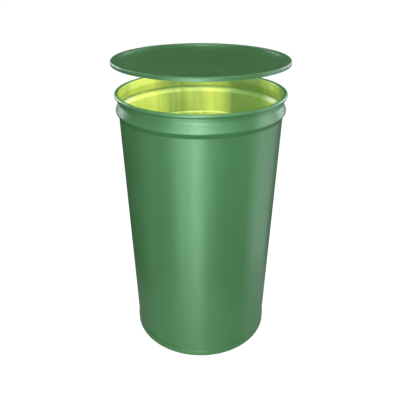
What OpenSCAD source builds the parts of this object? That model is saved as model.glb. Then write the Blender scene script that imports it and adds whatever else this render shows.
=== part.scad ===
// Round sheet-steel litter bin with a lift-off lid and a lift-out liner.
// The origin is the middle of the base, on the floor, with +Z up; millimetres.
// All pressed and rolled pieces are sections of sheet, turned about the Z axis.

/* [Bin body] */
// Outside diameter over the rolled rim
rim_d = 400; // [300:1:520]
// Height from the floor to the top of the rim
body_h = 660; // [480:1:900]
// Thickness of the body sheet
body_t = 0.9; // [0.8:0.1:1.4]
// Diameter of the rolled rim
rim_roll_d = 9.6; // [8.4:0.1:12]
// Radius that the wall loses between the shoulder and the floor
wall_taper = 13.2; // [8:0.5:30]
// How far the shoulder stands out from the neck
shoulder_out = 8.4; // [6:0.1:12]
// Depth of the shoulder's crest below the middle of the rolled rim
shoulder_drop = 35.5; // [32:0.5:50]
// Height of the shoulder's slope above its crest
shoulder_over = 20; // [16:0.5:26]
// Height of the shoulder's slope under its crest
shoulder_under = 12; // [10:0.1:20]
// Step from the neck out to the wall under the shoulder
wall_step = 1; // [0.5:0.1:4]
// Width of the lapped and welded side seam
seam_w = 9; // [6:0.5:14]

/* [Base] */
// Height of the chime, the folded seam round the foot
chime_h = 16; // [12:0.5:24]
// Height of the base plate above the floor
base_lift = 14; // [10:0.5:20]
// Height of the body's hook inside the chime
hook_h = 9; // [6:0.5:10]

/* [Lid] */
// Thickness of the lid sheet
lid_t = 0.9; // [0.8:0.1:1.2]
// Depth of the lid's skirt, from the top of its ring
skirt_h = 8.2; // [7:0.1:12]
// Depth of the flat panel below the top of the ring
panel_drop = 6; // [5:0.1:8]
// Gap between the rim and the skirt
skirt_play = 1.6; // [0.5:0.1:3]
// Gap between the neck and the side of the panel
plug_play = 0.6; // [0.4:0.1:1.2]
// Thickness of the sealing ring under the lid
gasket_t = 2; // [1.5:0.1:3]
// Width of the sealing ring
gasket_w = 6; // [4:0.5:8]
// How high the lid is held above its closed place
lid_raise = 69.5; // [20:0.1:120]

/* [Liner] */
// Thickness of the liner sheet
liner_t = 0.9; // [0.8:0.1:1.2]
// Depth of the liner's rim below the rim of the bin
liner_drop = 100; // [90:1:140]
// Radial gap between the mouth of the bin and the liner's rim
liner_play = 3.4; // [2:0.1:8]
// Diameter of the liner's rolled rim
liner_roll_d = 8; // [7:0.1:10]
// Radius that the liner's wall loses from rim to foot
liner_taper = 12; // [10:0.5:20]
// Height of the liner's floor above its foot
liner_base_lift = 8; // [6:0.5:12]
// Width of the flat foot that the liner stands on
liner_foot_w = 6; // [4:0.5:9]

/* [Liner handles] */
// Width of a handle between the middles of its sides
handle_w = 90; // [80:1:110]
// Reach of a handle from its hinge to the middle of its grip
handle_reach = 50; // [40:1:60]
// Diameter of the handle wire
handle_wire_d = 6; // [5:0.5:8]
// Bend radius at the middle of the wire
handle_bend = 12; // [9:0.5:16]
// Gap between a hanging handle and the liner's wall
handle_gap = 1.5; // [0.8:0.1:3]
// Depth of the hinge below the top of the liner
hinge_drop = 30; // [26:1:45]
// Running clearance round the hinge wire
hinge_play = 0.1; // [0.05:0.01:0.2]
// Length of the bracket's barrel
barrel_l = 24; // [16:1:30]
// Thickness of the barrel round the wire
barrel_wall = 2; // [1.5:0.1:3]
// Width of the bracket's plate round the liner
plate_w = 56; // [50:1:70]
// Height of the bracket's plate
plate_h = 26; // [20:1:34]
// Thickness of the bracket's plate
plate_t = 1.6; // [1.2:0.1:2.5]
// Diameter of a rivet's hole
rivet_d = 4; // [3:0.5:5]
// Diameter of a rivet's head
rivet_head_d = 8; // [7:0.5:9]
// Height of a rivet's domed head
rivet_head_h = 2; // [1.4:0.1:2.5]
// Thickness of a rivet's flat head outside the liner
rivet_tail_h = 0.8; // [0.6:0.1:1.2]

/* [Hidden] */

round_fn = 128;      // facets of the previews of round pieces
wire_fn = 32;        // facets of the previews of wire sections
fold_gap = 0.2;      // gap between sheets that are folded together
seat_gap = 0.3;      // gap between pieces that rest on each other and part
wire_gap = 0.2;      // gap between a rolled rim and the wire inside it
plate_gap = 0.2;     // gap between the liner and a bracket's plate
rivet_gap = 0.2;     // gap between a rivet's heads and the sheets between them
shank_play = 0.2;    // how much thinner a rivet's shank is than its hole
curl_end = -130;     // angle at which a rolled rim stops, short of its wall
curl_lead = 1;       // straight sheet under the start of a rolled rim
join = 0.4;          // how far joined shapes of one piece reach into each other

// Bends, at the middle of the sheet
wall_bend = 4;       // between the shoulder and the wall
crest_bend = 5;      // over the shoulder's crest
neck_bend = 18;      // from the shoulder into the neck
well_bend = 3;       // at the edge of a bin's or a liner's floor
fold_bend = 0.6;     // at a folded hook or lip, in sheet thicknesses
chime_bend = 0.9;    // at the foot of the chime, in sheet thicknesses
ring_out_bend = 3;   // at the outside of the lid's ring
ring_in_bend = 2.6;  // at the inside of the lid's ring
panel_bend = 1.6;    // at the foot of the ring's inner side
liner_bend = 1.4;    // at the liner's foot
lip_rise = 0.4;      // rise of the chime's lip towards the wall
seam_foot_gap = 2;   // between the chime and the side seam
seam_top_gap = 6;    // between the side seam and the shoulder

paint_green = "#5f9c6b";
panel_green = "#3c6739";
lacquer = "#c8d655";
steel = "#a9adad";
rubber_black = "#2b2d2c";

// ---- The body's levels and radii ----
rim_r = rim_d / 2;
rim_roll_r = rim_roll_d / 2;
rim_z = body_h - rim_roll_r;                    // middle of the rolled rim
mouth_r = rim_r - rim_roll_d;                   // inside of the neck
neck_r = mouth_r + body_t / 2;                  // middle of the neck's sheet
crest_z = rim_z - shoulder_drop;
neck_z = crest_z + shoulder_over;               // where the neck starts to flare
wall_top_z = crest_z - shoulder_under;
wall_top_r = neck_r + wall_step;
wall_foot_r = wall_top_r - wall_taper;

// Middle of the wall's sheet at a height
function wall_r(z) = wall_foot_r + wall_taper * z / wall_top_z;

// ---- The chime: base sheet outside, the body's hook inside it ----
base_t = body_t;
foot_z = base_t / 2;                            // middle of the sheet under the chime
hook_foot_z = base_t + fold_gap + body_t / 2;
hook_r = wall_r(hook_foot_z) + body_t + fold_gap;
chime_r = hook_r + body_t / 2 + fold_gap + base_t / 2;
well_r = wall_r(0) - body_t / 2 - fold_gap - base_t / 2;
chime_lip = chime_r - wall_r(chime_h) - body_t / 2 - fold_gap - base_t / 2;

// ---- The lid, in its closed place ----
crown_under_z = body_h + seat_gap + gasket_t;
crown_z = crown_under_z + lid_t / 2;
skirt_r = rim_r + skirt_play + lid_t / 2;
plug_r = mouth_r - plug_play - lid_t / 2;
skirt_z = crown_under_z + lid_t - skirt_h;
panel_z = crown_z - panel_drop;

// ---- The liner ----
liner_roll_r = liner_roll_d / 2;
liner_top_z = rim_z - liner_drop;               // top of the liner's rolled rim
liner_rim_z = liner_top_z - liner_roll_r;
liner_rim_r = mouth_r - liner_play;             // outside of the liner's rolled rim
liner_neck_r = liner_rim_r - liner_roll_d + liner_t / 2;
liner_foot_z = base_lift + base_t / 2 + seat_gap;
liner_foot_r = liner_neck_r - liner_taper;

// Middle of the liner's sheet at a height
function liner_r(z) = liner_foot_r
    + liner_taper * (z - liner_foot_z) / (liner_rim_z - liner_foot_z);

// ---- The handles ----
wire_r = handle_wire_d / 2;
hinge_z = liner_top_z - hinge_drop;
liner_in_r = liner_r(hinge_z - handle_reach) - liner_t / 2;
handle_half = handle_w / 2;
hinge_x = sqrt(pow(liner_in_r, 2) - pow(handle_half + wire_r, 2)) - wire_r - handle_gap;
plate_out_r = liner_r(hinge_z) - liner_t / 2 - plate_gap;
rivet_angle = asin((barrel_l / 2 + plate_w / 2) / 2 / plate_out_r);

// ---- Sheet sections: a path of [radius, height, fillet] corners ----
function unit(v) = v / norm(v);
function left_of(v) = [-v[1], v[0]];
function flat(p) = [p[0], p[1]];
function flipped(list) = [for (i = [len(list) - 1 : -1 : 0]) list[i]];

// Points along an arc, from one angle to another
function arc(centre, r, from, to) =
    let (steps = max(3, ceil(abs(to - from) / 12)))
    [for (i = [0 : steps])
        let (a = from + (to - from) * i / steps) centre + r * [cos(a), sin(a)]];

// A fillet of radius r at corner b between its neighbours a and c
function fillet(a, b, c, r) =
    let (u = unit(a - b), v = unit(c - b),
         half = acos(u * v) / 2,
         centre = b + unit(u + v) * r / sin(half),
         p = b + u * r / tan(half) - centre,
         q = b + v * r / tan(half) - centre,
         start = atan2(p[1], p[0]),
         turn = atan2(p[0] * q[1] - p[1] * q[0], p * q))
    arc(centre, r, start, start + turn);

function rounded(path) = [for (i = [0 : len(path) - 1])
    each (path[i][2] > 0
        ? fillet(flat(path[i - 1]), flat(path[i]), flat(path[i + 1]), path[i][2])
        : [flat(path[i])])];

// The path moved sideways by d
function beside(path, d) = [for (i = [0 : len(path) - 1])
    let (last = len(path) - 1,
         before = left_of(unit(i > 0 ? path[i] - path[i - 1] : path[1] - path[0])),
         after = left_of(unit(i < last ? path[i + 1] - path[i] : path[last] - path[last - 1])),
         mid = unit(before + after))
    path[i] + mid * d / (mid * before)];

module sheet(path, t) {
    rotate_extrude($fn = round_fn)
        polygon(concat(beside(path, t / 2), flipped(beside(path, -t / 2))));
}

module ring_wire(r, z, wire) {
    translate([0, 0, z])
        rotate_extrude($fn = round_fn)
            translate([r, 0])
                circle(r = wire, $fn = wire_fn);
}

// ---- Body ----
function body_path() = concat(
    rounded([
        [hook_r, hook_foot_z + hook_h, 0],
        [hook_r, hook_foot_z, fold_bend * body_t],
        [wall_r(hook_foot_z), hook_foot_z, fold_bend * body_t],
        [wall_top_r, wall_top_z, wall_bend],
        [neck_r + shoulder_out, crest_z, crest_bend],
        [neck_r, neck_z, neck_bend],
        [neck_r, rim_z - curl_lead, 0]]),
    arc([rim_r - rim_roll_r, rim_z], rim_roll_r - body_t / 2, 180, curl_end));

module side_seam() {
    // The lap lies outside the wall at the back, from the chime to the shoulder
    seam_foot = chime_h + seam_foot_gap;
    seam_top = wall_top_z - seam_top_gap;
    intersection() {
        sheet([[wall_r(seam_foot) + body_t - join / 2, seam_foot],
               [wall_r(seam_top) + body_t - join / 2, seam_top]], body_t + join);
        translate([-seam_w / 2, 0, 0])
            cube([seam_w, rim_r, body_h]);
    }
}

module body_shell() color(paint_green) {
    sheet(body_path(), body_t);
    side_seam();
}

module rim_wire() color(steel)
    ring_wire(rim_r - rim_roll_r, rim_z, rim_roll_r - body_t - wire_gap);

module base_pan() color(paint_green)
    sheet(rounded([
        [0, base_lift, 0],
        [well_r, base_lift, well_bend],
        [well_r, foot_z, chime_bend * base_t],
        [chime_r, foot_z, chime_bend * base_t],
        [chime_r, chime_h, fold_bend * base_t],
        [chime_r - chime_lip, chime_h + lip_rise, 0]]), base_t);

// ---- Lid ----
module lid_panel() color(panel_green)
    translate([0, 0, lid_raise])
        sheet(rounded([
            [skirt_r, skirt_z, 0],
            [skirt_r, crown_z, ring_out_bend],
            [plug_r, crown_z, ring_in_bend],
            [plug_r, panel_z, panel_bend],
            [0, panel_z, 0]]), lid_t);

module lid_gasket() color(rubber_black) {
    middle = rim_r - rim_roll_r;
    translate([0, 0, lid_raise + crown_under_z - gasket_t])
        difference() {
            cylinder(r = middle + gasket_w / 2, h = gasket_t, $fn = round_fn);
            translate([0, 0, -join])
                cylinder(r = middle - gasket_w / 2, h = gasket_t + 2 * join, $fn = round_fn);
        }
}

// ---- Liner ----
function liner_path() = concat(
    rounded([
        [liner_foot_r - liner_foot_w, liner_foot_z + liner_t / 2, 0],
        [liner_foot_r, liner_foot_z + liner_t / 2, liner_bend],
        [liner_neck_r, liner_rim_z - curl_lead, 0]]),
    arc([liner_rim_r - liner_roll_r, liner_rim_z], liner_roll_r - liner_t / 2, 180, curl_end));

// The four rivets, two to a side; children are drawn along +X at their radius
module at_rivets(side) {
    for (a = [-rivet_angle, rivet_angle])
        rotate([0, 0, (side > 0 ? 0 : 180) + a])
            translate([0, 0, hinge_z])
                children();
}

module rivet_hole() {
    reach = plate_t + plate_gap + liner_t + join;
    translate([plate_out_r - reach, 0, 0])
        rotate([0, 90, 0])
            cylinder(d = rivet_d, h = 2 * reach, $fn = wire_fn);
}

module liner_shell() color(lacquer)
    difference() {
        sheet(liner_path(), liner_t);
        for (side = [-1, 1])
            at_rivets(side) rivet_hole();
    }

module liner_rim_wire() color(steel)
    ring_wire(liner_rim_r - liner_roll_r, liner_rim_z, liner_roll_r - liner_t - wire_gap);

module liner_base() color(lacquer) {
    skirt_foot_z = liner_foot_z + liner_t / 2 + liner_bend;
    floor_z = liner_foot_z + liner_base_lift;
    inner = liner_t + fold_gap;
    sheet(rounded([
        [0, floor_z, 0],
        [liner_r(floor_z) - inner, floor_z, well_bend],
        [liner_r(skirt_foot_z) - inner, skirt_foot_z, 0]]), liner_t);
}

// ---- Handles: a bracket, its rivets and a swinging wire handle on each side ----
module bracket(side) {
    plate_low = hinge_z - plate_h / 2;
    plate_high = hinge_z + plate_h / 2;
    inset = liner_t / 2 + plate_gap + plate_t / 2;
    barrel_r = wire_r + hinge_play + barrel_wall;
    rotate([0, 0, side > 0 ? 0 : 180])
        difference() {
            union() {
                intersection() {
                    sheet([[liner_r(plate_low) - inset, plate_low],
                           [liner_r(plate_high) - inset, plate_high]], plate_t);
                    translate([0, -plate_w / 2, 0])
                        cube([rim_r, plate_w, body_h]);
                }
                translate([hinge_x, -barrel_l / 2, hinge_z - barrel_r / 2])
                    cube([plate_out_r - plate_t / 2 - hinge_x - join, barrel_l, barrel_r]);
                translate([hinge_x, barrel_l / 2, hinge_z])
                    rotate([90, 0, 0])
                        cylinder(r = barrel_r, h = barrel_l, $fn = wire_fn);
            }
            translate([hinge_x, plate_w / 2, hinge_z])
                rotate([90, 0, 0])
                    cylinder(r = wire_r + hinge_play, h = plate_w, $fn = wire_fn);
            rotate([0, 0, side > 0 ? 0 : 180])
                at_rivets(side) rivet_hole();
        }
}

module handle_bracket_left() color(steel) bracket(-1);
module handle_bracket_right() color(steel) bracket(1);

module rivet() {
    head_in = plate_out_r - plate_t - rivet_gap;
    head_out = plate_out_r + plate_gap + liner_t + rivet_gap;
    // Domed head on the plate
    translate([head_in, 0, 0])
        rotate([0, -90, 0])
            intersection() {
                translate([0, 0, rivet_head_h - rivet_head_d])
                    sphere(r = rivet_head_d, $fn = round_fn);
                cylinder(d = rivet_head_d, h = rivet_head_d, $fn = wire_fn);
            }
    // Shank, and the flat head outside the liner
    translate([head_in - join, 0, 0])
        rotate([0, 90, 0])
            cylinder(d = rivet_d - shank_play, h = head_out - head_in + 2 * join, $fn = wire_fn);
    translate([head_out, 0, 0])
        rotate([0, 90, 0])
            cylinder(d = rivet_head_d, h = rivet_tail_h, $fn = wire_fn);
}

module handle_rivets() color(steel)
    for (side = [-1, 1])
        at_rivets(side) rivet();

// A closed loop of wire, hinged along its upper side
module loop_handle(side) {
    straight_y = handle_w - 2 * handle_bend;
    straight_z = handle_reach - 2 * handle_bend;
    translate([side * hinge_x, 0, hinge_z]) {
        for (z = [0, -handle_reach])
            translate([0, straight_y / 2, z])
                rotate([90, 0, 0])
                    cylinder(r = wire_r, h = straight_y, $fn = wire_fn);
        for (y = [-handle_half, handle_half])
            translate([0, y, -handle_reach + handle_bend])
                cylinder(r = wire_r, h = straight_z, $fn = wire_fn);
        for (corner = [[1, 1, 0], [-1, 1, 90], [-1, -1, 180], [1, -1, 270]])
            translate([0, corner[0] * straight_y / 2,
                       -handle_reach / 2 + corner[1] * straight_z / 2])
                rotate([90, 0, 90])
                    rotate([0, 0, corner[2]])
                        rotate_extrude(angle = 90, $fn = round_fn)
                            translate([handle_bend, 0])
                                circle(r = wire_r, $fn = wire_fn);
    }
}

module liner_handle_left() color(steel) loop_handle(-1);
module liner_handle_right() color(steel) loop_handle(1);

body_shell();
rim_wire();
base_pan();
lid_panel();
lid_gasket();
liner_shell();
liner_rim_wire();
liner_base();
handle_bracket_left();
handle_bracket_right();
handle_rivets();
liner_handle_left();
liner_handle_right();
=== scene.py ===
"""Looks of a round sheet-steel litter bin with a lift-off lid and a lift-out liner."""
import math

import bmesh
import bpy
from mathutils import Matrix, Vector


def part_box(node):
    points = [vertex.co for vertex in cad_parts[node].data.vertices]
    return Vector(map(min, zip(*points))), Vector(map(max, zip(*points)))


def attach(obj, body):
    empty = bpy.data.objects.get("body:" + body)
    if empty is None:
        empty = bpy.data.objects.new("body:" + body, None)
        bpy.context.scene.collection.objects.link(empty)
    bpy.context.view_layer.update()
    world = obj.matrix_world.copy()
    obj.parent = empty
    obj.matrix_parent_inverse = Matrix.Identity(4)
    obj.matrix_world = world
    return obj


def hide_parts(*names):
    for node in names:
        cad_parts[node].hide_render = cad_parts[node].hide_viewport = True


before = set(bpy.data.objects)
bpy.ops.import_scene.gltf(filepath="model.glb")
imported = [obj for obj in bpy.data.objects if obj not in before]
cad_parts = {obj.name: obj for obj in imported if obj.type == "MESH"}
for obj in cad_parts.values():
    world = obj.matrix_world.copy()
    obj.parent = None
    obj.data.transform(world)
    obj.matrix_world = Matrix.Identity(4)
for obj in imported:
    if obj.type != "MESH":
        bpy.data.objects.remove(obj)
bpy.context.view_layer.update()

MM = 0.001

# ---- Sizes read from the frame, in metres ----
ROUND = 224                    # steps round the bin's axis

_, body_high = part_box("body_shell")
wire_low, wire_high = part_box("rim_wire")
_, base_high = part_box("base_pan")
lid_low, lid_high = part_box("lid_panel")
gasket_low, gasket_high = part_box("lid_gasket")
liner_low, liner_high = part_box("liner_shell")
liner_wire_low, liner_wire_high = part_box("liner_rim_wire")
liner_base_low, liner_base_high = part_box("liner_base")
grip_low, grip_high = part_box("liner_handle_right")

# ---- Sizes of the sheet work that no box shows ----
SHEET = 0.9 * MM
FOLD_GAP = 0.2 * MM
SHOULDER_DROP = 35.5 * MM      # crest of the shoulder below the middle of the rim
SHOULDER_OVER = 20 * MM        # height of the slope above the crest
SHOULDER_UNDER = 12 * MM       # height of the slope under the crest
SHOULDER_OUT = 8.4 * MM        # crest of the shoulder beyond the neck
WALL_STEP = 1 * MM             # wall under the shoulder beyond the neck
WALL_TAPER = 13.2 * MM         # radius lost from the shoulder to the floor
WALL_BEND = 4 * MM             # bend where the shoulder meets the wall
CREST_BEND = 5 * MM
NECK_BEND = 18 * MM
FLOOR_BEND = 3 * MM            # bend at the edge of a base's flat floor
FOLD_BEND = 0.54 * MM          # tight fold of a hook or a lip
CHIME_BEND = 0.81 * MM         # fold at the foot of the chime
HOOK_H = 9 * MM                # hook at the wall's foot, which the chime folds over
LIP_RISE = 0.4 * MM            # rise of the chime's lip towards the wall
BASE_LIFT = 14 * MM            # middle of the base pan's sheet above the floor
SHEET_END = 0.18               # how far the middle of a cut edge stands out, as a share of the thickness
SEAM_W = 9 * MM
SEAM_ABOVE_CHIME, SEAM_BELOW_WALL_TOP = 2 * MM, 6 * MM
SEAM_SEAT = 0.1 * MM           # gap between the wall and the lap
SEAM_RISE = SHEET - 0.25 * MM  # height of the lap above its edges
SEAM_EDGES = 6                 # the lap rises over a sixth of its half width
SEAM_SKIN = 0.5 * MM           # thickness of the lap's mesh
WELD_PITCH, WELD_DEPTH = 18 * MM, 0.35 * MM
WELD_SPREAD = 6 * MM * MM      # square of the distance over which a spot weld fades
SKIRT_OUT = 2.5 * MM           # outside of the lid's skirt beyond the rolled rim
PLUG_PLAY = 0.6 * MM           # gap between the neck and the side of the lid's panel
PANEL_DROP = 6 * MM            # lid's panel below its raised ring
RING_OUT_BEND, RING_IN_BEND, PANEL_BEND = 3 * MM, 2.6 * MM, 1.6 * MM
GASKET_W, GASKET_BEND = 6 * MM, 0.5 * MM
LINER_TAPER = 12 * MM          # radius lost from the liner's rim to its foot
LINER_FOOT_W = 6 * MM          # foot turned inwards under the liner's wall
LINER_BEND = 1.4 * MM
LINER_NECK = 1 * MM            # end of the liner's wall below the middle of its rolled rim
CURL_END = -130                # where a rolled rim stops, in degrees

# ---- Where the enamel meets the inside lacquer, in points of a section with five-degree bends ----
ENAMELLED_HOOK = 8             # points of the hook, from its free edge
ENAMELLED_SKIRT = 6            # points of the inside of the lid's skirt, from its edge
LACQUERED_ROLL = 5             # points of the bin's rolled rim, from the neck

# ---- Sizes of the handles that no box shows ----
HANDLE_BEND = 12 * MM          # bend at the middle of the wire
WIRE_SIDES = 24
WIRE_STEP = 2 * MM             # length of a step along the straights of the wire
BEAD_ASIDE = 8 * MM            # bead of the wire's butt weld beside the barrel
BEAD_H, BEAD_W = 0.45 * MM, 1.3 * MM
BARREL_L, BARREL_WALL = 24 * MM, 2 * MM
BARREL_NECK = 0.62             # half height of the strap behind the barrel, as a share of its radius
BARREL_FLARE = 3 * MM          # radius where the strap flares into the plate
BARREL_SEAT = 0.1 * MM         # gap between the strap and the plate
HINGE_PLAY = 0.1 * MM          # running clearance round the hinge wire
PLATE_W, PLATE_H, PLATE_T = 56 * MM, 26 * MM, 1.6 * MM
PLATE_CORNER = 5 * MM
SOFT_EDGE = 0.4 * MM           # worn edge of a barrel or a plate
PLATE_GAP = 0.3 * MM           # gap between the liner and a bracket's plate
RIVET_GAP = 0.2 * MM           # gap between a rivet's heads and the sheets between them
RIVET_HEAD_R, RIVET_HEAD_H, RIVET_TAIL_H = 4 * MM, 2 * MM, 0.8 * MM
RIVET_RIM = 0.1                # upright rim of a head, as a share of its height
RIVET_TUCK = 0.98              # foot of that rim, as a share of the head's radius
RIVET_STEPS = 28               # steps round a head

# ---- Places worked out from the boxes ----
rim_r = lid_high.x - SKIRT_OUT             # outside of the bin's rolled rim
rim_z = (wire_low.z + wire_high.z) / 2     # middle of the rolled rim
roll_r = body_high.z - rim_z               # outside radius of the roll
liner_rim_z = (liner_wire_low.z + liner_wire_high.z) / 2
liner_roll_r = liner_high.z - liner_rim_z
liner_rim_r = liner_high.x


# ---- Sections of bent sheet: paths of (radius, height, fillet) corners ----
def arc(centre, radius, start, stop, step=5):
    count = max(4, math.ceil(abs(stop - start) / step))
    angles = [math.radians(start + (stop - start) * i / count) for i in range(count + 1)]
    return [Vector((centre[0] + radius * math.cos(a), centre[1] + radius * math.sin(a))) for a in angles]


def fillet(a, b, c, radius):
    """The arc that rounds the corner b between a and c."""
    u, v = (a - b).normalized(), (c - b).normalized()
    half = math.acos(max(-1, min(1, u.dot(v)))) / 2
    centre = b + (u + v).normalized() * radius / math.sin(half)
    p = b + u * radius / math.tan(half) - centre
    q = b + v * radius / math.tan(half) - centre
    start = math.degrees(math.atan2(p.y, p.x))
    turn = math.degrees(math.atan2(p.x * q.y - p.y * q.x, p.dot(q)))
    return arc(centre, radius, start, start + turn)


def rounded(path):
    """The points of a path, with an arc at each corner that has a fillet."""
    corners = [Vector(p[:2]) for p in path]
    points = []
    for i, p in enumerate(path):
        if len(p) > 2:
            points += fillet(corners[i - 1], corners[i], corners[i + 1], p[2])
        else:
            points.append(corners[i])
    return points


def beside(path, distance):
    """The path moved to its left by distance."""
    moved = []
    for i, point in enumerate(path):
        before = path[i] - path[i - 1] if i else path[1] - path[0]
        after = path[i + 1] - path[i] if i < len(path) - 1 else before
        normals = [Vector((-d.y, d.x)).normalized() for d in (before, after)]
        middle = (normals[0] + normals[1]).normalized()
        moved.append(point + middle * distance / middle.dot(normals[0]))
    return moved


def sheet_section(path, thick):
    """Outline of a sheet along path, and the number of points of its left face, which come first.
    An end on the axis has no edge, and any other end gets one point that blunts it."""
    left, right = beside(path, thick / 2), beside(path, -thick / 2)

    def end(last, before):
        if last.x < 1e-6:
            return []
        out = (last - before).normalized()
        return [last + out * thick * SHEET_END]

    tail, head = end(path[-1], path[-2]), end(path[0], path[1])
    return left + tail + right[::-1] + head, len(left)


# ---- Meshes ----
SHARP = math.radians(40)       # edges that turn more than this stay sharp


def new_piece(name, mesh, materials):
    mesh.materials.clear()
    for material in materials:
        mesh.materials.append(material)
    mesh.polygons.foreach_set("use_smooth", [True] * len(mesh.polygons))
    mesh.set_sharp_from_angle(angle=SHARP)
    mesh.update()
    piece = bpy.data.objects.new(name, mesh)
    bpy.context.scene.collection.objects.link(piece)
    return piece


def new_object(name, vertices, faces, materials, face_slots=None):
    mesh = bpy.data.meshes.new(name)
    mesh.from_pydata(vertices, [], faces)
    mesh.validate()
    piece = new_piece(name, mesh, materials)
    if face_slots:
        mesh.polygons.foreach_set("material_index", face_slots)
    return piece


def turned(name, outline, materials, slot_of=None, closed=True):
    """The outline turned about the Z axis. slot_of(i) is the material of the band after point i."""
    vertices, rings = [], []
    for point in outline:
        if point.x < 1e-6:
            rings.append([len(vertices)] * ROUND)
            vertices.append((0, 0, point.y))
            continue
        rings.append(range(len(vertices), len(vertices) + ROUND))
        for k in range(ROUND):
            a = 2 * math.pi * k / ROUND
            vertices.append((point.x * math.cos(a), point.x * math.sin(a), point.y))
    faces, slots = [], []
    for i in range(len(outline) if closed else len(outline) - 1):
        a, b = rings[i], rings[(i + 1) % len(outline)]
        if a[0] == a[1] and b[0] == b[1]:
            continue
        for k in range(ROUND):
            n = (k + 1) % ROUND
            corners = [b[k], b[n], a[n], a[k]]
            faces.append([v for j, v in enumerate(corners) if v != corners[j - 1]])
            slots.append(slot_of(i) if slot_of else 0)
    return new_object(name, vertices, faces, materials, slots)


def swept(name, path, radius, materials, sides):
    """A round wire along a closed path of points. radius(share) is its radius at a share of the way."""
    vertices, faces = [], []
    count = len(path)
    for i, point in enumerate(path):
        along = (path[(i + 1) % count] - path[i - 1]).normalized()
        side = Vector((1, 0, 0))
        up = along.cross(side).normalized()
        for k in range(sides):
            a = 2 * math.pi * k / sides
            vertices.append(point + radius(i / count) * (side * math.cos(a) + up * math.sin(a)))
    for i in range(count):
        j = (i + 1) % count
        for k in range(sides):
            n = (k + 1) % sides
            faces.append([i * sides + k, i * sides + n, j * sides + n, j * sides + k])
    return new_object(name, vertices, faces, materials)


# ---- Materials ----
class Nodes:
    """A short way to write a material's nodes."""

    def __init__(self, name):
        self.material = bpy.data.materials.new(name)
        self.material.use_nodes = True
        self.tree = self.material.node_tree
        self.shader = self.tree.nodes["Principled BSDF"]
        self.where = self.add("ShaderNodeTexCoord").outputs["Object"]

    def add(self, kind, **inputs):
        node = self.tree.nodes.new(kind)
        for key, value in inputs.items():
            self.set(node, key, value)
        return node

    def set(self, node, key, value):
        """A key such as i0 is the number of an input, and any other key is its name."""
        socket = node.inputs[int(key[1:])] if key[0] == "i" and key[1:].isdigit() else node.inputs[key]
        if isinstance(value, bpy.types.NodeSocket):
            self.tree.links.new(value, socket)
        else:
            socket.default_value = value

    def math(self, operation, a, b=0.0, c=0.0):
        node = self.add("ShaderNodeMath", i0=a, i1=b, i2=c)
        node.operation = operation
        return node.outputs[0]

    def noise(self, scale, detail=3, rough=0.5, stretch=(1, 1, 1)):
        mapping = self.add("ShaderNodeMapping", Vector=self.where, Scale=stretch)
        node = self.add("ShaderNodeTexNoise", Vector=mapping.outputs[0], Scale=scale, Detail=detail,
                        Roughness=rough)
        return node.outputs["Fac"]

    def ramp(self, value, low, high, start=0.0, stop=1.0):
        """value from low..high carried to start..stop, held at both ends."""
        node = self.add("ShaderNodeMapRange", Value=value)
        for key, number in (("From Min", low), ("From Max", high), ("To Min", start), ("To Max", stop)):
            node.inputs[key].default_value = number
        return node.outputs["Result"]

    def mix(self, factor, a, b):
        node = self.add("ShaderNodeMix")
        node.data_type = "RGBA"
        for index, value in ((0, factor), (6, a), (7, b)):
            self.set(node, f"i{index}", value)
        return node.outputs[2]

    def bump(self, height, strength, distance, normal=None):
        node = self.add("ShaderNodeBump", Height=height, Strength=strength, Distance=distance)
        if normal:
            self.tree.links.new(normal, node.inputs["Normal"])
        return node.outputs["Normal"]

    def split(self):
        node = self.add("ShaderNodeSeparateXYZ", Vector=self.where)
        return node.outputs

    def finish(self, **inputs):
        for key, value in inputs.items():
            self.set(self.shader, key.replace("_", " "), value)
        return self.material


def linear(red, green, blue):
    """A screen colour, 0 to 255, as the linear colour that nodes take."""
    def one(c):
        c /= 255
        return c / 12.92 if c <= 0.04045 else ((c + 0.055) / 1.055) ** 2.4
    return (one(red), one(green), one(blue), 1.0)


LACQUER = linear(242, 250, 136)
# Dark end of the lacquer: a thicker coat, and the painted shade of the light bands and of the darker side
LACQUER_THICK_AND_SHADED = linear(132, 164, 96)
# Painted shade for the groove of the shoulder inside the bin
LACQUER_CREASE_SHADE = linear(100, 142, 82)


def enamel(name, colour, shade, rough):
    """Stoved enamel on sheet steel: a little mottle, orange peel and rolled waviness."""
    n = Nodes(name)
    cloud = n.noise(scale=9, detail=4, rough=0.6)
    speck = n.noise(scale=700, detail=2)
    streak = n.noise(scale=60, rough=0.6, stretch=(1, 1, 0.04))
    mottle = n.math("ADD", n.math("MULTIPLY", cloud, 0.5), n.math("MULTIPLY", streak, 0.5))
    paint = n.mix(n.ramp(mottle, 0.35, 0.65), shade, colour)
    glint = [c * 1.25 for c in colour[:3]] + [1]
    paint = n.mix(n.ramp(speck, 0.35, 0.75, 0, 0.35), paint, glint)
    orange_peel = n.noise(scale=420, detail=2)
    peel = n.bump(orange_peel, strength=0.10, distance=0.2 * MM)
    waviness = n.noise(scale=16, detail=2, rough=0.4, stretch=(1, 1, 0.25))
    wave = n.bump(waviness, strength=0.25, distance=0.6 * MM, normal=peel)
    return n.finish(Base_Color=paint, Roughness=n.ramp(cloud, 0.3, 0.7, rough - 0.04, rough + 0.05),
                    Normal=wave, Metallic=0.3, Coat_Weight=0.4, Coat_Roughness=0.32, IOR=1.5)


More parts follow.
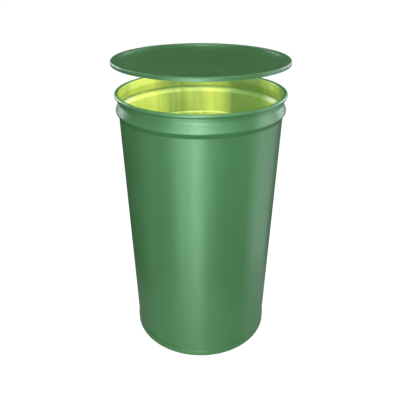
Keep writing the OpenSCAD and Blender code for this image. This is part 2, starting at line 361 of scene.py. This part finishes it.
def lacquer(name, rough, dark_below, crease_shade_z=None):
    """Tinted lacquer with random thin and thick patches and drawn streaks, and with painted light: upright
    bands of painted light and shade round the axis, and one side painted lighter and the opposite side
    darker.
    It is darkest, as painted shade, where all these add up to under dark_below, and lightest, as painted
    light, 1 above that.
    Where the groove's height is given, a painted shade line darkens the lacquer in the groove."""
    light_bands, light_band_turn, light_band_depth = 6, math.radians(10), 0.42
    side_light_turn, side_light_depth = math.radians(75), 0.45
    crease_shade_half, crease_shade_fade = 2 * MM, 5 * MM
    n = Nodes(name)
    cloud = n.noise(scale=7)
    streak = n.noise(scale=45, rough=0.6, stretch=(1, 1, 0.05))
    place = n.split()
    angle = n.math("ARCTAN2", place["X"], place["Y"])
    wander = n.math("MULTIPLY", n.math("SUBTRACT", cloud, 0.5), 2.0)
    # Painted light: six upright bands of painted light and shade round the axis
    turns = n.math("MULTIPLY_ADD", n.math("SUBTRACT", angle, light_band_turn), light_bands, wander)
    light_band = n.math("MULTIPLY", n.math("COSINE", turns), light_band_depth)
    # Painted light: one side of the inside painted lighter and the opposite side painted darker
    side_light = n.math("MULTIPLY", n.math("COSINE", n.math("ADD", angle, side_light_turn)), side_light_depth)
    # Random thin patches and streaks, added to the painted light and shade
    light_and_thinness = n.math("ADD", n.math("ADD", n.math("ADD", cloud, streak), light_band), side_light)
    paint = n.mix(n.ramp(light_and_thinness, dark_below, dark_below + 1), LACQUER_THICK_AND_SHADED, LACQUER)
    # Painted shade: a darker line of lacquer round the inside of the shoulder's groove, broken by the
    # streaks
    if crease_shade_z:
        off = n.math("ABSOLUTE", n.math("SUBTRACT", place["Z"], crease_shade_z))
        line = n.ramp(off, crease_shade_half, crease_shade_fade, 1, 0)
        crease_shade = n.math("MULTIPLY", line, n.ramp(streak, 0.3, 0.6, 0.55, 1))
        paint = n.mix(n.math("MULTIPLY", crease_shade, 0.75), paint, LACQUER_CREASE_SHADE)
    waviness = n.noise(scale=14, detail=2, rough=0.4, stretch=(1, 1, 0.2))
    wave = n.bump(waviness, strength=0.3, distance=0.8 * MM)
    return n.finish(Base_Color=paint, Roughness=n.ramp(cloud, 0.3, 0.7, rough - 0.05, rough + 0.06),
                    Normal=wave, Coat_Weight=0.4, Coat_Roughness=0.1, IOR=1.5)


def zinc(name):
    """Zinc-plated steel: fine grain with a soft spangle."""
    n = Nodes(name)
    grain = n.noise(scale=900, rough=0.6)
    cloud = n.noise(scale=60, rough=0.6)
    colour = n.mix(n.ramp(cloud, 0.3, 0.7), linear(128, 133, 134), linear(176, 180, 178))
    return n.finish(Base_Color=colour, Metallic=1.0, Roughness=n.ramp(grain, 0.3, 0.7, 0.26, 0.42),
                    Normal=n.bump(grain, strength=0.15, distance=0.05 * MM))


def rubber(name):
    """Matt moulded rubber, nearly black."""
    n = Nodes(name)
    grain = n.noise(scale=1200, detail=2, rough=0.6)
    cloud = n.noise(scale=40)
    colour = n.mix(n.ramp(cloud, 0.3, 0.7), linear(30, 32, 31), linear(48, 50, 48))
    return n.finish(Base_Color=colour, Roughness=n.ramp(grain, 0.3, 0.7, 0.62, 0.8),
                    Normal=n.bump(grain, strength=0.2, distance=0.05 * MM))


body_green = enamel("green_enamel", linear(76, 130, 76), linear(70, 122, 69), rough=0.38)
lid_green = enamel("lid_enamel", linear(74, 127, 72), linear(68, 119, 66), rough=0.40)
inside_lacquer = lacquer("inside_lacquer", rough=0.3, dark_below=0.65, crease_shade_z=rim_z - SHOULDER_DROP)
liner_lacquer = lacquer("liner_lacquer", rough=0.3, dark_below=0.3)
bright_steel = zinc("zinc_steel")
seal_rubber = rubber("seal_rubber")


# ---- Body ----
neck_r = rim_r - 2 * roll_r + SHEET / 2          # middle of the neck's sheet
crest_z = rim_z - SHOULDER_DROP
neck_z = crest_z + SHOULDER_OVER
wall_top_z = crest_z - SHOULDER_UNDER
wall_foot_r = neck_r + WALL_STEP - WALL_TAPER


def wall_r(z):
    """Radius of the middle of the wall's sheet at the height z."""
    return wall_foot_r + WALL_TAPER * z / wall_top_z


hook_foot_z = SHEET + FOLD_GAP + SHEET / 2
hook_r = wall_r(hook_foot_z) + SHEET + FOLD_GAP
chime_r = hook_r + SHEET + FOLD_GAP
chime_h = base_high.z - LIP_RISE - SHEET / 2


def make_body():
    """The body in one sheet: hook at the foot, tapered wall, shoulder, neck and rolled rim."""
    path = rounded([
        (hook_r, hook_foot_z + HOOK_H),
        (hook_r, hook_foot_z, FOLD_BEND),
        (wall_r(hook_foot_z), hook_foot_z, FOLD_BEND),
        (neck_r + WALL_STEP, wall_top_z, WALL_BEND),
        (neck_r + SHOULDER_OUT, crest_z, CREST_BEND),
        (neck_r, neck_z, NECK_BEND),
        (neck_r, rim_z)])
    lacquer_end = len(path) + LACQUERED_ROLL
    path += arc((rim_r - roll_r, rim_z), roll_r - SHEET / 2, 180, CURL_END)[1:]
    outline, _ = sheet_section(path, SHEET)
    # The left face is the inside of the bin and the outside of the roll
    piece = turned("body", outline, [body_green, inside_lacquer],
                   lambda i: 1 if ENAMELLED_HOOK < i < lacquer_end else 0)
    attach(piece, "bin")
    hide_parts("body_shell")
    return piece


def make_seam():
    """The lapped side seam at the back, with its row of flattened spot welds."""
    foot, top = chime_h + SEAM_ABOVE_CHIME, wall_top_z - SEAM_BELOW_WALL_TOP
    rows, columns = 160, 12
    vertices, faces = [], []
    for i in range(rows + 1):
        z = foot + (top - foot) * i / rows
        from_weld = (((z - foot) / WELD_PITCH) % 1 - 0.5) * WELD_PITCH
        for j in range(columns + 1):
            across = -1 + 2 * j / columns
            rise = min(1, (1 - abs(across)) * SEAM_EDGES) ** 0.5
            weld = math.exp(-(from_weld ** 2 + (across * SEAM_W / 2) ** 2) / WELD_SPREAD)
            r = wall_r(z) + SHEET / 2 + SEAM_SEAT + SEAM_RISE * rise - WELD_DEPTH * weld
            a = math.pi / 2 + across * SEAM_W / 2 / r
            vertices.append((r * math.cos(a), r * math.sin(a), z))
    for i in range(rows):
        for j in range(columns):
            k = i * (columns + 1) + j
            faces.append([k, k + columns + 1, k + columns + 2, k + 1])
    piece = new_object("side_seam", vertices, faces, [body_green])
    solid = piece.modifiers.new("thickness", "SOLIDIFY")
    solid.thickness, solid.offset = SEAM_SKIN, -1
    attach(piece, "bin")
    return piece


def make_base():
    """The base pan: its raised floor, the edge turned down, and the chime folded over the wall's hook."""
    edge_r = wall_r(0) - SHEET - FOLD_GAP
    lip = chime_r - wall_r(chime_h) - SHEET - FOLD_GAP
    path = rounded([
        (0, BASE_LIFT),
        (edge_r, BASE_LIFT, FLOOR_BEND),
        (edge_r, SHEET / 2, CHIME_BEND),
        (chime_r, SHEET / 2, CHIME_BEND),
        (chime_r, chime_h, FOLD_BEND),
        (chime_r - lip, chime_h + LIP_RISE)])
    outline, _ = sheet_section(path, SHEET)
    piece = turned("base_pan_skin", outline, [body_green], closed=False)
    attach(piece, "bin")
    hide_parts("base_pan")
    return piece


# ---- Lid ----
def make_lid():
    """The lid in one sheet: skirt, raised ring and the lower panel."""
    skirt_r = lid_high.x - SHEET / 2
    crown_z = lid_high.z - SHEET / 2
    plug_r = rim_r - 2 * roll_r - PLUG_PLAY - SHEET / 2
    panel_z = crown_z - PANEL_DROP
    path = rounded([
        (skirt_r, lid_low.z),
        (skirt_r, crown_z, RING_OUT_BEND),
        (plug_r, crown_z, RING_IN_BEND),
        (plug_r, panel_z, PANEL_BEND),
        (0, panel_z)])
    outline, left_count = sheet_section(path, SHEET)
    # The path runs inwards over the crown, so its right face is the top
    piece = turned("lid", outline, [lid_green, inside_lacquer],
                   lambda i: 1 if ENAMELLED_SKIRT < i < left_count - 1 else 0, closed=False)
    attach(piece, "lid")
    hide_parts("lid_panel")
    return piece


def make_gasket():
    """The sealing ring in the lid's channel."""
    inner, outer = gasket_high.x - GASKET_W, gasket_high.x
    low, high = gasket_low.z, gasket_high.z
    corners = [(x, z, GASKET_BEND) for x, z in ((inner, low), (outer, low), (outer, high), (inner, high))]
    # The plain corners at both ends only give the fillets their directions
    points = rounded([corners[-1][:2]] + corners + [corners[0][:2]])[1:-1]
    piece = turned("seal_ring", points, [seal_rubber])
    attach(piece, "lid")
    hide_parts("lid_gasket")
    return piece


# ---- Liner ----
liner_neck_r = liner_rim_r - 2 * liner_roll_r + SHEET / 2
liner_foot_r = liner_neck_r - LINER_TAPER


def liner_r(z):
    """Radius of the middle of the liner's sheet at the height z."""
    return liner_foot_r + LINER_TAPER * (z - liner_low.z) / (liner_rim_z - liner_low.z)


def make_liner():
    """The liner's wall in one sheet, from the foot that is turned inwards to the rolled rim."""
    path = rounded([
        (liner_foot_r - LINER_FOOT_W, liner_low.z + SHEET / 2),
        (liner_foot_r, liner_low.z + SHEET / 2, LINER_BEND),
        (liner_neck_r, liner_rim_z - LINER_NECK)])
    path += arc((liner_rim_r - liner_roll_r, liner_rim_z), liner_roll_r - SHEET / 2, 180, CURL_END)
    outline, _ = sheet_section(path, SHEET)
    piece = turned("liner", outline, [liner_lacquer])
    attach(piece, "liner")
    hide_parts("liner_shell")
    return piece


def make_liner_base():
    """The liner's floor, with its edge turned down inside the wall."""
    floor_z = liner_base_high.z - SHEET / 2
    inner = SHEET + FOLD_GAP
    foot_z = liner_base_low.z
    path = rounded([
        (0, floor_z),
        (liner_r(floor_z) - inner, floor_z, FLOOR_BEND),
        (liner_r(foot_z) - inner, foot_z)])
    outline, _ = sheet_section(path, SHEET)
    piece = turned("liner_floor", outline, [liner_lacquer], closed=False)
    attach(piece, "liner")
    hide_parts("liner_base")
    return piece


# ---- Handles: a wire loop, its bracket and rivets on each side ----
wire_r = (grip_high.x - grip_low.x) / 2
hinge_x = (grip_high.x + grip_low.x) / 2
hinge_z = grip_high.z - wire_r
handle_half = grip_high.y - wire_r
handle_reach = hinge_z - grip_low.z - wire_r
plate_out_r = liner_r(hinge_z) - SHEET / 2 - PLATE_GAP
rivet_angle = math.asin((BARREL_L / 2 + PLATE_W / 2) / 2 / plate_out_r)


def place_side(piece, side):
    """Turns a piece that was made at +X to its side of the liner."""
    piece.data.transform(Matrix.Rotation(0 if side > 0 else math.pi, 4, "Z"))


def make_handle(side, name, body):
    """The closed wire loop, with the bead of its butt weld beside the bracket."""
    corners = [Vector((y, z)) for y, z in ((handle_half, 0), (handle_half, -handle_reach),
                                           (-handle_half, -handle_reach), (-handle_half, 0))]
    path = []
    for i, corner in enumerate(corners):
        following = corners[(i + 1) % 4]
        bend = fillet(corners[i - 1], corner, following, HANDLE_BEND)
        straight = (following - corner).length - 2 * HANDLE_BEND
        away = (following - corner).normalized()
        steps = max(2, round(straight / WIRE_STEP))
        path += bend
        path += [bend[-1] + away * straight * k / steps for k in range(1, steps)]
    points = [Vector((side * hinge_x, p.x, hinge_z + p.y)) for p in path]
    weld_y = side * (BARREL_L / 2 + BEAD_ASIDE)

    def radius(share):
        point = points[round(share * len(points)) % len(points)]
        if point.z < hinge_z - wire_r:
            return wire_r
        return wire_r + BEAD_H * math.exp(-((point.y - weld_y) / BEAD_W) ** 2)

    piece = swept(name, points, radius, [bright_steel], WIRE_SIDES)
    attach(piece, body)
    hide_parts("liner_" + body)


def make_plate():
    """The face of the curved plate that lies against the liner, with rounded corners."""
    rows, columns = 20, 28
    sheet = bmesh.new()
    grid = []
    for i in range(rows + 1):
        up = PLATE_H * (i / rows - 0.5)
        over = max(0, abs(up) - (PLATE_H / 2 - PLATE_CORNER))
        half = PLATE_W / 2 - PLATE_CORNER + math.sqrt(max(0, PLATE_CORNER ** 2 - over ** 2))
        r = liner_r(hinge_z + up) - SHEET / 2 - PLATE_GAP
        row = []
        for j in range(columns + 1):
            a = half * (2 * j / columns - 1) / r
            row.append(sheet.verts.new((r * math.cos(a), r * math.sin(a), hinge_z + up)))
        grid.append(row)
    for i in range(rows):
        for j in range(columns):
            sheet.faces.new((grid[i][j], grid[i][j + 1], grid[i + 1][j + 1], grid[i + 1][j]))
    sheet.normal_update()
    mesh = bpy.data.meshes.new("plate")
    sheet.to_mesh(mesh)
    sheet.free()
    return mesh


def barrel_outline():
    """The strap's section in the XZ plane: a barrel that flares into the plate."""
    outer = wire_r + HINGE_PLAY + BARREL_WALL
    foot = plate_out_r - PLATE_T - BARREL_SEAT - hinge_x
    neck = outer * BARREL_NECK
    side_light = math.degrees(math.asin(neck / outer))
    barrel = arc((0, 0), outer, side_light, 360 - side_light, 8)
    upper = arc((foot - BARREL_FLARE, neck + BARREL_FLARE), BARREL_FLARE, 270, 360, 15)
    lower = [Vector((p.x, -p.y)) for p in upper[::-1]]
    return barrel + lower + upper[::-1]


def make_bracket(side, name, node):
    """The plate on the liner's wall and the barrel that holds the handle's wire."""
    outline = bpy.data.curves.new("barrel", "CURVE")
    outline.dimensions, outline.fill_mode = "2D", "BOTH"
    outline.extrude = BARREL_L / 2 - SOFT_EDGE
    outline.bevel_depth, outline.bevel_resolution = SOFT_EDGE, 2
    outline.offset = -SOFT_EDGE
    bore = arc((0, 0), wire_r + HINGE_PLAY, 0, 350, 10)
    for points in (barrel_outline(), bore):
        spline = outline.splines.new("POLY")
        spline.points.add(len(points) - 1)
        for point, at in zip(spline.points, points):
            point.co = (at.x, at.y, 0, 1)
        spline.use_cyclic_u = True
    holder = bpy.data.objects.new("barrel", outline)
    bpy.context.scene.collection.objects.link(holder)
    bpy.context.view_layer.update()
    mesh = bpy.data.meshes.new_from_object(holder.evaluated_get(bpy.context.evaluated_depsgraph_get()))
    bpy.data.objects.remove(holder)
    # The curve's plane is turned so that its Y runs up and its depth along the hinge
    mesh.transform(Matrix.Translation((hinge_x, 0, hinge_z)) @ Matrix.Rotation(math.pi / 2, 4, "X"))
    barrel = new_piece(name + "_barrel", mesh, [bright_steel])
    plate = new_piece(name, make_plate(), [bright_steel])
    solid = plate.modifiers.new("thickness", "SOLIDIFY")
    solid.thickness, solid.offset = PLATE_T, -1
    edge = plate.modifiers.new("edges", "BEVEL")
    edge.width, edge.segments, edge.angle_limit = SOFT_EDGE, 2, math.radians(50)
    for piece in (plate, barrel):
        place_side(piece, side)
        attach(piece, "liner")
    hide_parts(node)
    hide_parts(node)


def head_profile(height, dish):
    """A rivet head's half section, from its foot to its middle: (distance from the axis, height)."""
    points = [(RIVET_HEAD_R * RIVET_TUCK, 0), (RIVET_HEAD_R, height * RIVET_RIM)]
    for k in range(1, 9):
        a = k / 8 * math.pi / 2
        dome = RIVET_RIM + (1 - RIVET_RIM) * math.sin(a) ** dish
        points.append((RIVET_HEAD_R * math.cos(a), height * dome))
    return points


def add_head(vertices, faces, turn, seat, way, profile):
    """Adds one rivet head with its foot at the radius seat. It points outwards where way is 1, and
    inwards where way is -1."""
    start, rings = len(vertices), len(profile) - 1
    for r, h in profile[:-1]:
        for k in range(RIVET_STEPS):
            a = 2 * math.pi * k / RIVET_STEPS
            vertices.append(turn @ Vector((seat + way * h, r * math.cos(a), hinge_z + r * math.sin(a))))
    vertices.append(turn @ Vector((seat + way * profile[-1][1], 0, hinge_z)))
    vertices.append(turn @ Vector((seat, 0, hinge_z)))
    top, low = len(vertices) - 2, len(vertices) - 1
    last = start + (rings - 1) * RIVET_STEPS
    for k in range(RIVET_STEPS):
        n = (k + 1) % RIVET_STEPS
        loops = []
        for ring in range(start, last, RIVET_STEPS):
            above = ring + RIVET_STEPS
            loops.append([ring + k, ring + n, above + n, above + k])
        loops += [[last + k, last + n, top], [start + n, start + k, low]]
        faces += loops if way > 0 else [f[::-1] for f in loops]


def make_rivets():
    """The four rivets, each with a domed head inside the liner and a flat one outside."""
    head_in = plate_out_r - PLATE_T - RIVET_GAP
    head_out = plate_out_r + PLATE_GAP + SHEET + RIVET_GAP
    vertices, faces = [], []
    for side in (0, math.pi):
        for angle in (-rivet_angle, rivet_angle):
            turn = Matrix.Rotation(side + angle, 4, "Z")
            add_head(vertices, faces, turn, head_in, -1, head_profile(RIVET_HEAD_H, 1))
            add_head(vertices, faces, turn, head_out, 1, head_profile(RIVET_TAIL_H, 0.5))
    piece = new_object("rivets", vertices, faces, [bright_steel])
    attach(piece, "liner")
    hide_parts("handle_rivets")


# ---- Studio ----
CAMERA_LENS, CAMERA_SENSOR = 41.1, 36       # in millimetres, as cameras state them
CAMERA_AWAY, CAMERA_ABOVE = 5.30, 1.35      # from the bin's axis and above its rim, in rim radii
CAMERA_TILT = 27.66                         # degrees below level
CAMERA_ASIDE = -2.1 * MM
FLOOR_HALF, FLOOR_DROP = 40.0, 0.3 * MM
FLOOR_PAPER = (0.08, 0.08, 0.08, 1)
WHITE = (1, 1, 1, 1)
WORLD_LIGHT = 0.03                          # what the white surroundings add to the light
PANEL_AWAY, PANEL_WAIST = 2.4, 0.45         # panels' distance, and the height their angles start from
PANEL_LOW, PANEL_SPLIT, PANEL_HIGH = -40, 2, 30   # angles of elevation of their two halves
PANEL_COLOUR = (0.95, 0.98, 1.14)


def make_camera():
    """The camera that was fitted to the ellipses and the outline of the bin in the photograph."""
    data = bpy.data.cameras.new("camera")
    data.lens, data.sensor_width = CAMERA_LENS, CAMERA_SENSOR
    camera = bpy.data.objects.new("camera", data)
    camera.location = (CAMERA_ASIDE, -CAMERA_AWAY * rim_r, rim_z + CAMERA_ABOVE * rim_r)
    camera.rotation_euler = (math.radians(90 - CAMERA_TILT), 0, 0)
    bpy.context.scene.collection.objects.link(camera)
    bpy.context.scene.camera = camera


def make_floor():
    """White paper that glows like a lit sweep, and that only the camera sees."""
    signs = ((-1, -1), (1, -1), (1, 1), (-1, 1))
    corners = [(x * FLOOR_HALF, y * FLOOR_HALF, -FLOOR_DROP) for x, y in signs]
    floor = new_object("floor", corners, [(0, 1, 2, 3)], [])
    n = Nodes("floor_paper")
    floor.data.materials.append(n.finish(Base_Color=FLOOR_PAPER, Roughness=1.0,
                                         Emission_Color=WHITE, Emission_Strength=1.0))
    floor.visible_glossy = False
    floor.visible_diffuse = False
    floor.visible_shadow = False


def make_world():
    """White surroundings that the camera sees at full strength and the bin hardly at all."""
    world = bpy.data.worlds.new("studio")
    bpy.context.scene.world = world
    world.use_nodes = True
    tree = world.node_tree
    shown, dim = tree.nodes["Background"], tree.nodes.new("ShaderNodeBackground")
    for node, strength in ((shown, 1.0), (dim, WORLD_LIGHT)):
        node.inputs["Color"].default_value = WHITE
        node.inputs["Strength"].default_value = strength
    path = tree.nodes.new("ShaderNodeLightPath")
    mix = tree.nodes.new("ShaderNodeMixShader")
    tree.links.new(path.outputs["Is Camera Ray"], mix.inputs[0])
    tree.links.new(dim.outputs[0], mix.inputs[1])
    tree.links.new(shown.outputs[0], mix.inputs[2])
    tree.links.new(mix.outputs[0], tree.nodes["World Output"].inputs["Surface"])


def area_light(name, place, target, size, power, colour=(1, 1, 1)):
    """A rectangular light that looks at target; power is in watts per square metre."""
    data = bpy.data.lights.new(name, "AREA")
    data.shape, data.size, data.size_y = "RECTANGLE", size[0], size[1]
    data.energy, data.color = power * size[0] * size[1], colour
    light = bpy.data.objects.new(name, data)
    light.location = place
    light.rotation_euler = (Vector(target) - Vector(place)).to_track_quat("-Z", "Y").to_euler()
    light.visible_camera = False
    bpy.context.scene.collection.objects.link(light)
    return light


def upright_panel(name, azimuth, width, low, high, power):
    """A soft panel that stands round the bin, between two angles of elevation.
    Azimuth 0 is the camera's side."""
    if not power:
        return
    turn = math.radians(azimuth)
    foot, top = (PANEL_WAIST + PANEL_AWAY * math.tan(math.radians(angle)) for angle in (low, high))
    middle = (foot + top) / 2
    area_light(name, (PANEL_AWAY * math.sin(turn), -PANEL_AWAY * math.cos(turn), middle), (0, 0, middle),
               (width, top - foot), power, PANEL_COLOUR)


def make_outside_lights():
    """Panels round the bin, and the lights from above, from behind and from the floor."""
    # Azimuth and width of each panel, and the power of its lower and its upper half
    panels = ((-130, 1.0, 0, 15), (-75, 1.0, 1, 1), (-26, 0.7, 7, 14), (-6, 0.35, 27, 58), (12, 0.5, 2, 19),
              (35, 0.7, 0, 4), (90, 1.0, 4, 10), (115, 1.0, 2.5, 0), (130, 1.0, 0, 15))
    for azimuth, width, lower, upper in panels:
        upright_panel(f"lower_{azimuth}", azimuth, width, PANEL_LOW, PANEL_SPLIT, lower)
        upright_panel(f"upper_{azimuth}", azimuth, width, PANEL_SPLIT, PANEL_HIGH, upper)
    area_light("overhead", place=(0, 0, 2.4), target=(0, 0, 0.5), size=(1.6, 1.6), power=8)
    for x in (-1.2, 1.2):
        area_light(f"rear_{x}", place=(x, 1.5, 2.3), target=(0, 0, 0.4), size=(1.0, 1.0), power=7)
    area_light("floor_bounce", place=(0, 0, -0.01), target=(0, 0, 1), size=(0.7, 0.7), power=0.5)


def make_inside_lights():
    """The lights for the inside of the bin and for the underside of the lid."""
    # Light that comes back from inside the bin, for the underside of the lid only
    lifted = area_light("lid_bounce", place=(0, 0, 0.4), target=(0, 0, 1), size=(0.25, 0.25), power=30)
    lifted.light_linking.receiver_collection = bpy.data.collections.new("lid_only")
    lifted.light_linking.receiver_collection.objects.link(bpy.data.objects["lid"])

    # The lights for the inside pass by the raised lid, as they do in a picture lit from many sides
    skipped = bpy.data.collections.new("unlit_lid")
    for name in ("lid", "seal_ring"):
        skipped.objects.link(bpy.data.objects[name])
    for member in skipped.collection_objects:
        member.light_linking.link_state = "EXCLUDE"
    # Place and power of each
    lights = (((0, -0.3, 2.2), 17), ((-1.3, -0.8, 1.9), 5), ((0, -1.5, 2.0), 6), ((1.3, -0.8, 1.9), 8))
    for i, (place, power) in enumerate(lights):
        inside = area_light(f"inside_{i}", place, (0, 0, 0.5), (0.7, 0.7), power)
        inside.light_linking.blocker_collection = skipped
        inside.light_linking.receiver_collection = skipped


make_camera()
make_body()
make_seam()
make_base()
make_lid()
make_gasket()
make_liner()
make_liner_base()
make_handle(-1, "wire_handle_left", "handle_left")
make_handle(1, "wire_handle_right", "handle_right")
make_bracket(-1, "bracket_left", "handle_bracket_left")
make_bracket(1, "bracket_right", "handle_bracket_right")
make_rivets()
for node_name in ("rim_wire", "liner_rim_wire"):
    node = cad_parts[node_name]
    node.data.materials.clear()
    node.data.materials.append(bright_steel)
make_floor()
make_world()
make_outside_lights()
make_inside_lights()
bpy.context.scene.view_settings.view_transform = "Standard"
